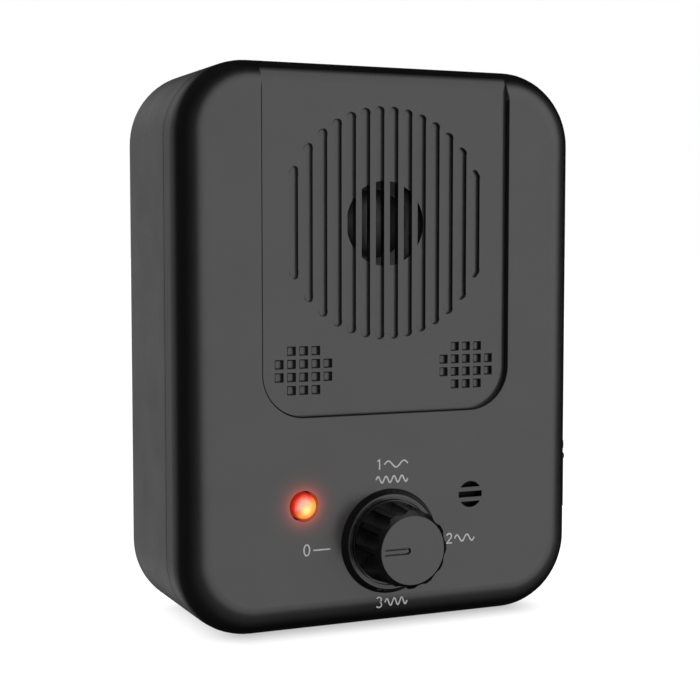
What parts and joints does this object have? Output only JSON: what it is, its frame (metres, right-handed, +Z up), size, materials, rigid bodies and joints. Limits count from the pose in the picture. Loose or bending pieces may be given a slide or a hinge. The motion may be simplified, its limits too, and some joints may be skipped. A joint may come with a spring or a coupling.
{
  "type": "ultrasonic pest repeller",
  "caption": "Rounded upright plastic case with a slotted speaker panel, lamp, microphone and rotary mode knob; it drives pests off with ultrasonic sound.",
  "frame": {"origin": "centre of the flat bottom face in X, halfway through the depth of the body without its knob", "axes": "+X right as seen from the front, +Y from the front face to the back, +Z up"},
  "size_m": [0.0809, 0.043, 0.1036],
  "materials": {
    "case_front": "fine-grained satin moulded ABS, near black",
    "case_rear": "fine-grained satin moulded ABS, near black",
    "seal_rubber": "soft matt rubber",
    "screw_steel": "zinc-plated steel",
    "knob_plastic": "satin moulded plastic with a smooth cap",
    "shaft_metal": "turned aluminium",
    "nylon_natural": "natural nylon",
    "zinc": "die-cast, plated",
    "switch_plastic": "moulded plastic",
    "phenolic": "phenolic paper sheet",
    "tinned_metal": "tinned wire",
    "board_green": "glass-fibre board with green solder mask",
    "chip_black": "moulded epoxy",
    "ceramic_brown": "fired ceramic",
    "capacitor_sleeve": "shrunk plastic sleeve",
    "ferrite": "sintered ferrite",
    "coil_tape": "yellow winding tape",
    "speaker_plastic": "moulded plastic",
    "diaphragm": "pressed grey film",
    "piezo_brass": "bare brass",
    "foam_black": "closed-cell foam",
    "wire_red": "PVC insulation",
    "wire_black": "PVC insulation",
    "led_epoxy": "tinted clear epoxy, lit from inside",
    "mic_can": "drawn aluminium can",
    "battery_wrap": "aluminium can in a thin printed-free wrap",
    "jack_steel": "plated sheet steel",
    "port_rubber": "soft black silicone rubber"
  },
  "bodies": {
    "case": {"front_cover": "case_front", "rear_cover": "case_rear", "cover_seal": "seal_rubber", "cover_screws": "screw_steel", "switch_bushing": "zinc", "switch_body": "switch_plastic", "switch_base": "phenolic", "switch_pins": "tinned_metal", "main_board": "board_green", "board_screws": "screw_steel", "control_chip": "chip_black", "amplifier_chip": "chip_black", "small_parts": "ceramic_brown", "capacitors": "capacitor_sleeve", "transistors": "chip_black", "transformer_core": "ferrite", "transformer_coil": "coil_tape", "transformer_pins": "tinned_metal", "speaker_housing": "speaker_plastic", "speaker_diaphragm": "diaphragm", "piezo_disc": "piezo_brass", "speaker_gasket": "foam_black", "speaker_terminals": "piezo_brass", "speaker_screws": "screw_steel", "speaker_lead_red": "wire_red", "speaker_lead_black": "wire_black", "led_lens": "led_epoxy", "led_leads": "tinned_metal", "led_spacer": "nylon_natural", "mic_capsule": "mic_can", "mic_felt": "foam_black", "mic_boot": "seal_rubber", "mic_pins": "tinned_metal", "battery_pack": "battery_wrap", "battery_pad": "foam_black", "battery_lead_red": "wire_red", "battery_lead_black": "wire_black", "battery_plug": "nylon_natural", "battery_socket": "nylon_natural", "usb_jack": "jack_steel", "usb_insert": "chip_black", "port_anchor": "port_rubber"},
    "dial": {"knob": "knob_plastic", "switch_shaft": "shaft_metal", "switch_rotor": "nylon_natural"},
    "port_flap": {"port_cover": "port_rubber"}
  },
  "joints": [
    {"name": "knob_turn", "type": "hinge", "parent": "case", "child": "dial", "pos_m": [0, -0.0165, 0.016], "axis": [0, 1, 0], "range_deg": [0, 270]},
    {"name": "port_cover_swing", "type": "hinge", "parent": "case", "child": "port_flap", "pos_m": [0.0399, -0.0096, 0.029], "axis": [0, -1, 0], "range_deg": [0, 110]}
  ]
}
